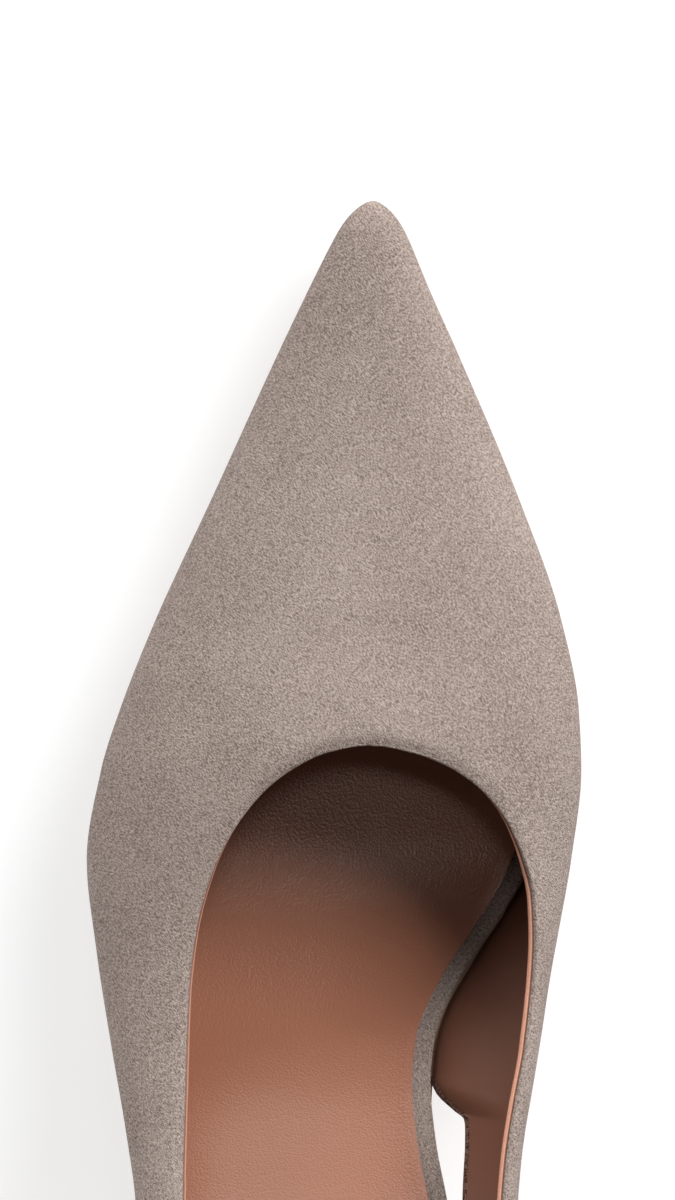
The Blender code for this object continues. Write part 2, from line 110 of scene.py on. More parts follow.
# Sections of the upper: its widest line, the height of the crest that the section would close to,
# and how far the wall tucks in under the widest line before it meets the sole
SECTION_COLUMNS = ("station", "wide_x", "wide_z", "crest_z", "tuck")
SECTIONS = {
    LATERAL: (
        (0.0, 3.1, 15.5, 15.5, 1.6),
        (0.6, 2.8, 15.5, 17.4, 1.8),
        (2.0, 2.1, 15.4, 19.0, 2.2),
        (5.0, 0.6, 15.2, 20.9, 2.4),
        (14.4, -4.05, 14.6, 23.2, 2.6),
        (24.0, -8.65, 13.8, 24.6, 2.7),
        (48.0, -19.65, 12.6, 28.8, 2.85),
        (67.0, -28.45, 12.4, 33.2, 2.9),
        (81.6, -34.25, 12.7, 37.6, 2.85),
        (91.2, -37.25, 13.0, 39.9, 2.8),
        (105.6, -39.55, 13.9, 40.6, 3.4),
        (120.0, -37.95, 17.0, 42.8, 2.7),
        (134.4, -35.55, 24.0, 48.6, 2.6),
        (148.8, -32.85, 34.5, 56.4, 2.35),
        (160.0, -31.2, 43.0, 64.5, 1.6),
        (180.0, -30.4, 58.0, 75.6, 1.0),
        (200.0, -30.1, 72.5, 86.6, 0.8),
        (222.0, -29.7, 84.0, 98.7, 0.4),
        (BACK_STATION, HEEL_X, 97.5, 113.8, 0.2),
    ),
    MEDIAL: (
        (0.0, 9.6, 15.5, 15.5, 1.6),
        (0.6, 9.85, 15.5, 17.4, 1.8),
        (2.0, 10.4, 15.4, 19.0, 2.2),
        (5.0, 11.7, 15.2, 20.9, 2.2),
        (14.4, 15.55, 14.6, 23.2, 2.2),
        (24.0, 19.85, 13.8, 24.6, 2.7),
        (48.0, 29.95, 12.6, 28.8, 2.8),
        (67.0, 36.6, 12.4, 33.2, 3.25),
        (81.6, 39.45, 12.7, 37.6, 3.15),
        (91.2, 39.85, 13.0, 40.4, 3.0),
        (105.6, 38.2, 14.4, 46.7, 3.95),
        (117.0, 36.1, 18.2, 56.6, 7.5),
        (124.0, 34.75, 21.5, 63.4, 10.55),
        (134.4, 33.0, 28.3, 72.2, 14.2),
        (138.0, 32.35, 31.2, 73.8, 14.5),
        (143.8, 31.25, 36.25, 75.85, 14.05),
        (145.8, 30.85, 37.95, 76.5, 12.0),
        (148.6, 30.35, 40.25, 77.4, 8.5),
        (152.4, 29.8, 43.25, 78.6, 7.75),
        (160.0, 29.1, 49.0, 80.0, 7.5),
        (180.0, 28.2, 60.5, 88.0, 4.0),
        (200.0, 26.4, 73.5, 95.8, 1.4),
        (222.0, 24.1, 84.5, 105.7, 0.5),
        (BACK_STATION, HEEL_X, 97.5, 113.8, 0.2),
    ),
}

# Lower edge of the wing where it leaves the sole and of the strap behind it
STRAP_COLUMNS = ("station", "low_z")
STRAP_LOW_EDGE = {
    LATERAL: (
        (146.0, 18.6),
        (148.0, 22.0),
        (151.0, 26.6),
        (155.0, 31.8),
        (160.0, 37.2),
        (180.0, 55.0),
        (200.0, 70.0),
        (222.0, 83.0),
        (BACK_STATION, 96.5),
    ),
    MEDIAL: (
        (143.8, 15.5),
        (145.8, 19.6),
        (148.6, 24.2),
        (152.4, 29.2),
        (156.2, 33.6),
        (160.0, 37.6),
        (180.0, 55.5),
        (200.0, 70.0),
        (222.0, 83.0),
        (BACK_STATION, 96.5),
    ),
}

# Topline in plan, from the outer side of the heel round the throat to the inner side: x, station
TOPLINE = (
    (-22.9, 222.0),
    (-23.6, 200.0),
    (-24.0, 180.0),
    (-24.1, 160.0),
    (-23.6, 136.5),
    (-23.2, 125.9),
    (-22.0, 116.3),
    (-19.2, 106.7),
    (-14.8, 98.7),
    (-9.2, 92.6),
    (-0.7, 87.9),
    (5.95, THROAT_STATION),
    (12.75, 88.0),
    (19.2, 90.5),
    (24.6, 94.5),
    (28.3, 99.2),
    (31.15, 105.6),
    (32.5, 110.9),
    (32.9, 118.0),
    (31.5, 133.9),
    (29.75, 142.9),
    (28.3, 151.5),
    (27.5, 160.0),
    (26.5, 180.0),
    (24.5, 200.0),
    (21.6, 222.0),
)


def smooth(stations, values, at):
    """Values at the stations asked for, on a curve through the rows that never overshoots them."""
    stations, values = np.asarray(stations, float), np.asarray(values, float)
    spans = np.diff(stations)
    rises = np.diff(values) / spans
    product = rises[:-1] * rises[1:]
    turning = product <= 0
    inner = np.where(turning, 0.0, 2 * product / np.where(turning, 1.0, rises[:-1] + rises[1:]))
    slopes = np.concatenate([rises[:1], inner, rises[-1:]])
    at = np.clip(at, stations[0], stations[-1])
    i = np.clip(np.searchsorted(stations, at, side="right"), 1, len(stations) - 1) - 1
    t = (at - stations[i]) / spans[i]
    start, end = values[i], values[i + 1]
    rise, fall = slopes[i] * spans[i], slopes[i + 1] * spans[i]
    return (
        start
        + t * rise
        + t**2 * (3 * (end - start) - 2 * rise - fall)
        + t**3 * (2 * (start - end) + rise + fall)
    )


def ease(share):
    """Goes from 0 to 1 as share does, level at both ends."""
    return share * share * (3 - 2 * share)


def column(table, names, name, at):
    index = names.index(name)
    return smooth([row[0] for row in table], [row[index] for row in table], at)


def round_the_back(table):
    """A table of one side with one more row, past the back, where the other side mirrors it."""
    before = table[-2]
    return table + ((2 * BACK_STATION - before[0], *before[1:]),)


def section(side, name, station):
    return column(round_the_back(SECTIONS[side]), SECTION_COLUMNS, name, station)


def spine(name, station):
    return column(SPINE, SPINE_COLUMNS, name, station)


def wide_x(side, station):
    """The upper's widest line in plan, drawn together into a round point at the toe."""
    lateral = section(LATERAL, "wide_x", station)
    medial = section(MEDIAL, "wide_x", station)
    opening = np.sqrt(np.tanh(station / TOE_ROUNDING))
    return (lateral + medial) / 2 + side * (medial - lateral) / 2 * opening


def wide_line(side, station):
    """The widest line in plan, as x and distance along, and its inward direction."""
    angle = np.clip((station - HEEL_STATION) / HEEL_ARC, 0.0, None) * math.pi / 2
    behind = station > HEEL_STATION
    step = 0.05
    turn = (wide_x(side, station + step) - wide_x(side, np.maximum(station - step, 0))) / (2 * step)
    across, back = side * np.cos(angle), np.sin(angle)
    x = np.where(behind, HEEL_X + HEEL_HALF_WIDTH * across, wide_x(side, station))
    along = np.where(behind, HEEL_STATION + HEEL_DEPTH * back, station)
    inward_x = np.where(behind, -across / HEEL_HALF_WIDTH, np.where(station > 0, -side, 0.0))
    inward_y = np.where(behind, -back / HEEL_DEPTH, np.where(station > 0, side * turn, 1.0))
    size = np.hypot(inward_x, inward_y)
    return x, along, inward_x / size, inward_y / size


def wall_lines(side, station):
    """Lines of points up the upper's outer face, one for each station, from the lower edge to the crest."""
    x, along, inward_x, inward_y = wide_line(side, station)
    wide_z = section(side, "wide_z", station)
    tuck = section(side, "tuck", station)
    edge = STRAP_LOW_EDGE[side]
    sole_z = spine("sole_z", along + inward_y * tuck) + OUTSOLE_THICKNESS + GAP
    strap_z = column(round_the_back(edge), STRAP_COLUMNS, "low_z", station)
    low_z = np.where(station <= edge[0][0], sole_z, strap_z)
    flare = ease(np.clip((station - edge[0][0]) / FLARE_RUN, 0.0, 1.0))[:, None]
    steps = 60
    rise = np.arange(steps) / steps
    upright, flared = 1 - ease(rise), (1 - rise) ** FLARE_CURVE
    below = tuck[:, None] * (upright + (flared - upright) * flare)
    turn = math.pi / 2 * np.arange(steps + 1) / steps
    behind = station > HEEL_STATION
    part = np.clip((station - HEEL_STATION) / HEEL_ARC, 0.0, 1.0)
    round_reach = HEEL_HALF_WIDTH + (HEEL_DEPTH - HEEL_HALF_WIDTH) * part
    reach = np.where(behind, round_reach, np.abs(x - spine("crest_x", station)))
    above = reach[:, None] * (1 - np.clip(np.cos(turn), 0.0, None) ** (2 / FULLNESS))
    crest_rise = section(side, "crest_z", station) - wide_z
    top_z = wide_z[:, None] + crest_rise[:, None] * np.sin(turn) ** (2 / FULLNESS)
    top_x = np.where(behind, inward_x, -side)[:, None]
    top_y = np.where(behind, inward_y, 0.0)[:, None]
    xs = x[:, None] + np.hstack([inward_x[:, None] * below, top_x * above])
    ys = along[:, None] + np.hstack([inward_y[:, None] * below, top_y * above])
    zs = np.hstack([low_z[:, None] + (wide_z - low_z)[:, None] * rise, top_z])
    return np.stack([xs, ys, zs], axis=2)


def lengths_along(lines):
    runs = np.linalg.norm(np.diff(lines, axis=-2), axis=-1)
    start = np.zeros((*runs.shape[:-1], 1))
    return np.concatenate([start, np.cumsum(runs, axis=-1)], axis=-1)


def rib(side, low_station, top_station, top_share, rises):
    """Points up the outer face from low_station at its lower edge to top_station at top_share."""
    lines = wall_lines(side, low_station + (top_station - low_station) * rises)
    lengths = lengths_along(lines)
    at = lengths[:, -1] * top_share * rises
    rows = np.arange(len(rises))
    i = np.clip((lengths <= at[:, None]).sum(axis=1) - 1, 0, lengths.shape[1] - 2)
    run = lengths[rows, i + 1] - lengths[rows, i]
    t = np.where(run > 0, (at - lengths[rows, i]) / np.where(run > 0, run, 1.0), 0.0)
    return lines[rows, i] + (lines[rows, i + 1] - lines[rows, i]) * t[:, None]


def share_up(side, station, inset):
    """How far up the wall, as a share of its length, it has come in by inset from the widest line."""
    station = np.array([station])
    line = wall_lines(side, station)[0]
    x, along, _, _ = wide_line(side, station)
    half = len(line) // 2
    insets = np.hypot(line[half:, 0] - x, line[half:, 1] - along)
    lengths = lengths_along(line)
    return float(np.interp(inset, insets, lengths[half:]) / lengths[-1])


def topline(side):
    """Points (x, station) along the topline, from the middle of the throat back to HEEL_STATION."""
    rows = np.array(TOPLINE)
    runs = lengths_along(rows)
    throat = int(np.argmin(rows[:, 1]))
    end = runs[-1] if side == MEDIAL else runs[0]
    samples = 800
    at = np.linspace(runs[throat], end, samples)
    return np.stack([smooth(runs, rows[:, 0], at), smooth(runs, rows[:, 1], at)], axis=1)


def strip(side, step, rises):
    """Ribs of one wing and its half of the strap, from behind the throat to the back of the heel."""
    points = topline(side)
    lengths = lengths_along(points)
    fan = np.interp(FAN_STATION, points[:, 1], lengths)
    count = round(lengths[-1] / step)
    ribs, inset = [], 0.0
    for run in lengths[-1] * np.arange(1, count + 1) / count:
        x = np.interp(run, lengths, points[:, 0])
        station = np.interp(run, lengths, points[:, 1])
        start = THROAT_STATION - VAMP_LEAN
        low = start + (FAN_STATION - start) * run / fan if run < fan else station
        inset = abs(float(wide_x(side, station)) - x)
        ribs.append(rib(side, low, station, share_up(side, station, inset), rises))
    back = round(HEEL_ARC / step)
    for share in np.arange(1, back + 1) / back:
        station = HEEL_STATION + HEEL_ARC * share
        top = share_up(side, station, inset + (BACK_TOP_INSET - inset) * ease(share))
        ribs.append(rib(side, station, station, top, rises))
    return ribs


def outer_face(step, columns):
    """The upper's outer face as grids of points in millimetres: the vamp, then the two wings. Also its
    topline and the foot of the strap. Points crowd towards the topline, the toe's tip and the throat."""
    top_crowding, tip_crowding, throat_crowding = 0.35, 1.8, 1.4
    part = np.arange(columns + 1) / columns
    rises = (1 + top_crowding) * part - top_crowding * part**3
    rises = rises / rises[-1]
    rows = round(THROAT_STATION / step)
    vamp = []
    for k in range(rows + 1):
        back = k / rows
        station = THROAT_STATION * (1 - (1 - back**tip_crowding) ** throat_crowding)
        low = station - VAMP_LEAN * (station / THROAT_STATION) ** 2
        sides = [rib(side, low, station, 1.0, rises) for side in SIDES]
        vamp.append(np.vstack([sides[0], sides[1][-2::-1]]))
    lateral = [vamp[-1][: columns + 1]] + strip(LATERAL, step, rises)
    medial = [vamp[-1][columns:]] + [points[::-1] for points in strip(MEDIAL, step, rises)]
    edge = [points[-1] for points in lateral] + [points[0] for points in medial]
    feet = {LATERAL: [points[0] for points in lateral], MEDIAL: [points[-1] for points in medial]}
    strap_foot = [foot for side in SIDES for foot in feet[side] if foot[1] > STRAP_START[side]]
    return (vamp, lateral, medial), np.array(edge), np.array(strap_foot)


def place(x, station, z):
    """A point of the shoe in the scene's metres."""
    return (x * MM, (LENGTH / 2 - station) * MM, z * MM)


MERGE_WITHIN = 0.001 * MM


def mesh_from_grids(name, grids):
    """One mesh of faces between the rows of each grid, with the shared points merged."""
    shape = bmesh.new()
    for rows in grids:
        lines = [[shape.verts.new(place(*point)) for point in row] for row in rows]
        for front, back in zip(lines, lines[1:]):
            for k in range(len(front) - 1):
                shape.faces.new((front[k], back[k], back[k + 1], front[k + 1]))
    bmesh.ops.remove_doubles(shape, verts=shape.verts[:], dist=MERGE_WITHIN)
    mesh = bpy.data.meshes.new(name)
    shape.to_mesh(mesh)
    shape.free()
    return mesh


def near_line(mesh, line):
    """Distance in millimetres from each of the mesh's vertices to the nearest point of a line."""
    tree = KDTree(len(line))
    for k, point in enumerate(line):
        tree.insert(place(*point), k)
    tree.balance()
    return np.array([tree.find(vertex.co)[2] for vertex in mesh.vertices]) / MM


def roll_edge(mesh, edge):
    """Rounds the face over towards the topline: it turns down into the throat, and less along the sides."""
    shares = np.clip(1 - near_line(mesh, edge) / EDGE_REACH, 0.0, None)
    stations = LENGTH / 2 - np.array([vertex.co.y for vertex in mesh.vertices]) / MM
    beside = ease(np.clip((stations - THROAT_STATION) / (FAN_STATION - THROAT_STATION), 0.0, 1.0))
    drops = (THROAT_DROP + (SIDE_DROP - THROAT_DROP) * beside) * shares**2
    moves = [vertex.normal * (-drop * MM) for vertex, drop in zip(mesh.vertices, drops)]
    for vertex, move in zip(mesh.vertices, moves):
        vertex.co += move
    mesh.update()


def shell(face, start, thickness, lifts=None):
    """A closed skin that follows a face at a depth of start under it, with a rounded rim. Faces of the rim
    take the second material. Lifts, one for each vertex of the face, push the rim out past the face."""
    shape = bmesh.new()
    shape.from_mesh(face)
    shape.verts.ensure_lookup_table()
    points = np.array([vertex.co for vertex in shape.verts]) / MM
    normals = np.array([vertex.normal for vertex in shape.verts])
    faces = [[vertex.index for vertex in item.verts] for item in shape.faces]
    rim = []
    for edge in shape.edges:
        if edge.is_boundary:
            loop = edge.link_loops[0]
            rim.append((loop.vert.index, loop.link_loop_next.vert.index))
    shape.free()
    outward = np.zeros_like(points)
    for a, b in rim:
        side = np.cross(points[b] - points[a], normals[a])
        outward[[a, b]] += side / np.linalg.norm(side)
    ends = sorted({a for a, _ in rim})
    outward[ends] /= np.linalg.norm(outward[ends], axis=1)[:, None]
    half = np.broadcast_to(thickness, len(points))[:, None] / 2
    middle = points - normals * (start + half)
    if lifts is not None:
        middle += outward * lifts[:, None]
    size, steps, bulge = len(points), 6, 0.3
    layers = []
    for k in range(steps + 1):
        turn = math.pi * k / steps
        reach = normals * math.cos(turn) + outward * (bulge * math.sin(turn))
        layers.append(middle + reach * half)
    position = {vertex: k for k, vertex in enumerate(ends)}
    rows = [layers[0], layers[-1]] + [layer[ends] for layer in layers[1:-1]]

    def ring(vertex, k):
        if k in (0, steps):
            return vertex + (size if k else 0)
        return 2 * size + (k - 1) * len(ends) + position[vertex]

    quads = faces + [[vertex + size for vertex in reversed(item)] for item in faces]
    for a, b in rim:
        quads += [[ring(b, k), ring(a, k), ring(a, k + 1), ring(b, k + 1)] for k in range(steps)]
    mesh = bpy.data.meshes.new(face.name)
    mesh.from_pydata((np.vstack(rows) * MM).tolist(), [], quads)
    for polygon in mesh.polygons[2 * len(faces) :]:
        polygon.material_index = 1
    bpy.data.meshes.remove(face)
    return mesh


def new_piece(name, mesh, material):
    piece = bpy.data.objects.new(name, mesh)
    bpy.context.scene.collection.objects.link(piece)
    mesh.materials.append(material)
    mesh.shade_smooth()
    return piece


def linear(hex_colour):
    """An sRGB hex colour as the linear values that a shader takes."""
    channels = [int(hex_colour[k : k + 2], 16) / 255 for k in (1, 3, 5)]
    return tuple(c / 12.92 if c <= 0.04045 else ((c + 0.055) / 1.055) ** 2.4 for c in channels) + (1.0,)


def new_material(name, sockets):
    """A material with one principled shader, whose sockets take the values given."""
    material = bpy.data.materials.new(name)
    material.use_nodes = True
    shader = material.node_tree.nodes["Principled BSDF"]
    for socket, value in sockets.items():
        shader.inputs[socket].default_value = value
    return material, material.node_tree, shader


def add_node(tree, kind, sockets, **settings):
    """Adds a shader node with its settings; a socket takes a value, or another node's output as a link."""
    made = tree.nodes.new(kind)
    for name, value in settings.items():
        setattr(made, name, value)
    for name, value in sockets.items():
        if isinstance(value, bpy.types.NodeSocket):
            tree.links.new(value, made.inputs[name])
        else:
            made.inputs[name].default_value = value
    return made


def finish(tree, shader, relief, strength, depth, tones=(), spread=0.4, clouds=None, sunk=False):
    """Raises a surface by a relief pattern, to a depth in millimetres, or sinks it by as much. Two tones,
    where given, dye it from dark to light over the middle spread of the clouds, or else of the relief."""
    sockets = {"Height": relief, "Strength": strength, "Distance": depth * MM}
    bump = add_node(tree, "ShaderNodeBump", sockets, invert=sunk)
    tree.links.new(bump.outputs["Normal"], shader.inputs["Normal"])
    if not tones:
        return
    ramp = add_node(tree, "ShaderNodeValToRGB", {"Fac": relief if clouds is None else clouds})
    ends = (0.5 - spread / 2, 0.5 + spread / 2)
    for element, position, tone in zip(ramp.color_ramp.elements, ends, tones):
        element.position = position
        element.color = linear(tone)
    tree.links.new(ramp.outputs["Color"], shader.inputs["Base Color"])


# Taupe suede: matt, with short nap brushed towards the toe's left, in lighter and darker strokes and faint
# broad patches where a hand has passed over it. Single fibres are too fine to show, so each stroke is drawn
# as wide as a tuft of them.
taupe_suede, tree, shader = new_material(
    "taupe_suede",
    {
        "Roughness": 0.95,
        "Specular IOR Level": 0.15,
        "Sheen Weight": 0.05,
        "Sheen Roughness": 0.55,
        "Sheen Tint": linear("#d8cbc4"),
    },
)
stroke_width = 0.17 * MM
stroke_shape = (1.0, 2.4, 6.0)
brush_angle = math.radians(45)
patch_size = 20 * MM
patch_share = 0.16
where = add_node(tree, "ShaderNodeTexCoord", {}).outputs["Object"]
brushed = add_node(
    tree, "ShaderNodeMapping", {"Vector": where, "Rotation": (0.0, 0.0, brush_angle), "Scale": stroke_shape},
    vector_type="TEXTURE",
).outputs["Vector"]
strokes = add_node(
    tree, "ShaderNodeTexNoise", {"Vector": brushed, "Scale": 1 / stroke_width, "Detail": 1.0}
).outputs["Fac"]
patches = add_node(
    tree, "ShaderNodeTexNoise", {"Vector": where, "Scale": 1 / patch_size, "Detail": 2.0}
).outputs["Fac"]
shades = add_node(
    tree, "ShaderNodeMix", {"Factor": patch_share, "A": strokes, "B": patches}, data_type="FLOAT"
).outputs["Result"]
finish(
    tree, shader, strokes, strength=0.8, depth=0.3,
    tones=("#6c5d56", "#b6a79e"), spread=0.36, clouds=shades,
)

# Raw edge of the skins along the strap's foot: rough and flecked where the fibres are cut. Its dark brown is
# partly the raw leather's own colour and partly painted shade, for the shade that falls on this band under
# the strap
raw_edge_and_painted_shade, tree, shader = new_material("raw_edge_and_painted_shade", {"Roughness": 0.9, "Specular IOR Level": 0.2})
fleck_size = 0.4 * MM
where = add_node(tree, "ShaderNodeTexCoord", {}).outputs["Object"]
flecks = add_node(
    tree, "ShaderNodeTexNoise", {"Vector": where, "Scale": 1 / fleck_size, "Detail": 1.0}
).outputs["Fac"]
finish(tree, shader, flecks, strength=0.8, depth=0.3, tones=("#3f251b", "#836557"), spread=0.2)

grids, upper_edge, strap_foot = outer_face(step=0.8, columns=52)
upper_face = mesh_from_grids("upper_face", grids)
roll_edge(upper_face, upper_edge)
turned_in = near_line(upper_face, strap_foot) < TURN_IN
thickness = np.where(turned_in, TURNED_THICKNESS, SUEDE_THICKNESS)
outside = len(upper_face.polygons)
upper = new_piece("upper_suede", shell(upper_face, 0.0, thickness), taupe_suede)
upper.data.materials.append(taupe_suede)
upper.data.materials.append(raw_edge_and_painted_shade)
# The inner faces of the turned-in band take the raw edge colour, whose darkness is partly painted shade
for polygon in upper.data.polygons[outside : 2 * outside]:
    if any(turned_in[vertex - len(turned_in)] for vertex in polygon.vertices):
        polygon.material_index = 2
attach(upper, "root")
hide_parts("upper")


# Lining
# Smooth brown kid leather glued inside the upper. It stands a little proud of the rolled suede along the
# topline, so that its pale cut edge runs round the opening as a thin line, and is trimmed short elsewhere.
LINING_THICKNESS = 0.75
LINING_GLUE = 0.05
LINING_PROUD = 0.3
LINING_TRIM = 0.6
LINING_RIM = 1.0

# Brown lining leather: one even colour with a faint grain and the dull gloss of unpolished kid
lining_leather, tree, shader = new_material(
    "brown_lining_leather", {"Roughness": 0.5, "Specular IOR Level": 0.4, "Base Color": linear("#7c513f")}
)
grain_size = 0.7 * MM
where = add_node(tree, "ShaderNodeTexCoord", {}).outputs["Object"]
grain = add_node(
    tree, "ShaderNodeTexNoise", {"Vector": where, "Scale": 1 / grain_size, "Detail": 2.0}
).outputs["Fac"]
finish(tree, shader, grain, strength=0.2, depth=0.1)

# Cut edge of the same leather: undyed inside, so it is paler and pinker than the face, with loose fibres
cut_leather, tree, shader = new_material("cut_lining_leather", {"Roughness": 0.7, "Specular IOR Level": 0.3})
fibre_size = 0.3 * MM
where = add_node(tree, "ShaderNodeTexCoord", {}).outputs["Object"]
fibres = add_node(
    tree, "ShaderNodeTexNoise", {"Vector": where, "Scale": 1 / fibre_size, "Detail": 2.0}
).outputs["Fac"]
finish(tree, shader, fibres, strength=0.4, depth=0.1, tones=("#b8836c", "#c8937c"))

grids, lining_edge, _ = outer_face(step=0.8, columns=36)
lining_face = mesh_from_grids("lining_face", grids)
roll_edge(lining_face, lining_edge)
lifts = np.where(near_line(lining_face, lining_edge) < LINING_RIM, LINING_PROUD, -LINING_TRIM)
lining = new_piece(
    "lining", shell(lining_face, SUEDE_THICKNESS + LINING_GLUE, LINING_THICKNESS, lifts), lining_leather
)
lining.data.materials.append(cut_leather)
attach(lining, "root")


# Insole
# A stiff board wrapped in the upper's suede and set on the sole, over the upper's glued margin. Its rounded
# edge shows as a strip beside the sock where the upper is cut away.
INSOLE_THICKNESS = 2.8
INSOLE_TIP = 6.0
INSOLE_TIP_ROUNDING = 1.2
INSOLE_BACK_DEPTH = LENGTH - HEEL_STATION
INSOLE_ROLL = 1.3
LAYER_COLUMNS = 24
ROLL_STEPS = 5
ROLL_ANGLE = math.radians(60)

# The footbed's edges in plan, and how far the sole reaches out past them
BED_COLUMNS = ("station", "lateral", "medial", "sole_reach")
BED = (
    (6.0, 5.0, 7.8, 1.9),
    (24.0, -3.55, 14.75, 2.2),
    (48.0, -14.4, 24.7, 2.4),
    (67.0, -23.2, 31.3, 2.4),
    (81.6, -29.2, 34.3, 2.4),
    (91.2, -32.2, 34.9, 2.4),
    (100.0, -33.9, 33.6, 2.4),
    (108.8, -34.2, 30.35, 2.3),
    (117.3, -33.6, 25.15, 2.0),
    (124.0, -32.8, 20.7, 1.7),
    (134.4, -31.0, 16.2, 0.9),
    (141.5, -29.8, 15.6, 0.35),
    (150.0, -28.7, 16.35, -0.5),
    (160.0, -28.0, 18.25, -0.8),
    (175.0, -27.4, 20.6, -0.8),
    (195.0, -27.2, 22.1, -0.8),
    (222.0, -27.1, 21.5, -0.8),
)

# Rise of the footbed towards its inner edge, and the x from where it rises
ARCH_COLUMNS = ("station", "rise", "start_x")
ARCH = (
    (78.0, 0.0, 0.0),
    (96.0, 1.8, 2.0),
    (110.0, 1.9, 0.0),
    (122.0, 1.5, -2.0),
    (140.0, 1.3, -3.5),
    (165.0, 1.0, -2.0),
    (215.0, 0.0, 0.0),
)


def bed(name, station):
    return column(BED, BED_COLUMNS, name, station)


def bed_edge(side, station, tip, rounding, inset):
    """X of the footbed's edge, brought together at the toe and rounded at the heel."""
    depth = INSOLE_BACK_DEPTH - inset
    past = max(station - HEEL_STATION, 0.0) / depth
    lateral, medial = bed("lateral", station), bed("medial", station)
    half = (medial - lateral) / 2 - inset
    opening = math.sqrt(math.tanh(max(station - tip, 0.0) / rounding))
    return (lateral + medial) / 2 + side * half * opening * math.sqrt(max(1 - past * past, 0.0))


def bed_stations(tip, end, back_depth=0.0):
    """Stations along the footbed, closer at the toe and, where it reaches the back, round the heel."""
    toe_run, toe_rows, step, back_rows = 28.0, 16, 1.6, 24
    stations = [tip + (toe_run - tip) * (k / toe_rows) ** 2 for k in range(toe_rows + 1)]
    rows = round((end - toe_run) / step)
    stations += [toe_run + (end - toe_run) * k / rows for k in range(1, rows + 1)]
    angles = [math.pi / 2 * k / back_rows for k in range(1, back_rows + 1)] if back_depth else []
    return stations + [end + back_depth * math.sin(angle) for angle in angles]


def level(x, station):
    """No rise: a face of the footbed that stays level from side to side."""
    return 0.0


def arch(x, station):
    """How far the footbed rises towards its inner edge, under the arch of the foot."""
    start = float(column(ARCH, ARCH_COLUMNS, "start_x", station))
    reach = float(bed("medial", station)) - start
    return float(column(ARCH, ARCH_COLUMNS, "rise", station)) * max((x - start) / reach, 0.0) ** 2


def layer(name, stations, edges, underside, thickness, rises, rounding, material):
    """A layer of the footbed: its top from edge to edge at each station, thickened downwards. Rises are the
    functions that its top and its underside rise by."""
    top_rise, under_rise = rises
    rows = []
    for station in stations:
        lateral, medial = edges(station)
        z = float(spine("sole_z", station)) + underside + thickness
        xs = [lateral + (medial - lateral) * k / LAYER_COLUMNS for k in range(LAYER_COLUMNS + 1)]
        rows.append([(x, station, z + top_rise(x, station)) for x in xs])
    shape = bmesh.new()
    flat = mesh_from_grids(name, [rows])
    shape.from_mesh(flat)
    grown = bmesh.ops.extrude_face_region(shape, geom=shape.faces[:])
    moved = [item for item in grown["geom"] if isinstance(item, bmesh.types.BMVert)]
    for vertex in moved:
        x, station = vertex.co.x / MM, LENGTH / 2 - vertex.co.y / MM
        vertex.co.z -= (thickness + top_rise(x, station) - under_rise(x, station)) * MM
    bmesh.ops.recalc_face_normals(shape, faces=shape.faces[:])
    shape.to_mesh(flat)
    shape.free()
    piece = new_piece(name, flat, material)
    soften = piece.modifiers.new("rounded_edge", "BEVEL")
    soften.width = rounding * MM
    soften.segments = ROLL_STEPS
    soften.limit_method = "ANGLE"
    soften.angle_limit = ROLL_ANGLE
    return piece


def insole_edges(station):
    return [bed_edge(side, station, INSOLE_TIP, INSOLE_TIP_ROUNDING, 0.0) for side in SIDES]


insole_z = OUTSOLE_THICKNESS + GAP
insole = layer(
    "insole_wrap", bed_stations(INSOLE_TIP, HEEL_STATION, INSOLE_BACK_DEPTH), insole_edges,
    insole_z, INSOLE_THICKNESS, (arch, level), INSOLE_ROLL, taupe_suede,
)
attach(insole, "root")
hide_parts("insole")


# Sock
# A thin tan leather, cut to the shape of the footbed and set in from its edge. It is glued down on the
# insole, and its cut edge is barely rounded.
SOCK_THICKNESS = 0.9
SOCK_TIP = 16.0
SOCK_INSET = 3.0
SOCK_ROLL = 0.3

# Tan sock leather: smooth, with a finely printed grain that breaks up the soft gloss of its finish
tan_leather, tree, shader = new_material(
    "tan_sock_leather",
    {
        "Roughness": 0.25,
        "Specular IOR Level": 0.45,
        "Specular Tint": linear("#fff2ea"),
        "Base Color": linear("#98634c"),
    },
)
pebble_size = 0.38 * MM
where = add_node(tree, "ShaderNodeTexCoord", {}).outputs["Object"]
pebbles = add_node(
    tree, "ShaderNodeTexVoronoi", {"Vector": where, "Scale": 1 / pebble_size, "Randomness": 1.0}, feature="F1"
).outputs["Distance"]
finish(tree, shader, pebbles, strength=0.55, depth=0.06, sunk=True)


def sock_edges(station):
    return [bed_edge(side, station, SOCK_TIP, INSOLE_TIP_ROUNDING, SOCK_INSET) for side in SIDES]


sock = layer(
    "sock_leather", bed_stations(SOCK_TIP, HEEL_STATION, INSOLE_BACK_DEPTH - SOCK_INSET), sock_edges,
    insole_z + INSOLE_THICKNESS + GAP, SOCK_THICKNESS, (arch, arch), SOCK_ROLL, tan_leather,
)
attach(sock, "root")
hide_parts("sock")


# Outsole
# A thin sole cut from firm leather, cemented under the upper. It springs up at the toe, lies flat under the
# ball, arches along the waist and ends at the heel breast.
OUTSOLE_TIP = 3.0
OUTSOLE_ROLL = 0.5
HEEL_BREAST = 206.0

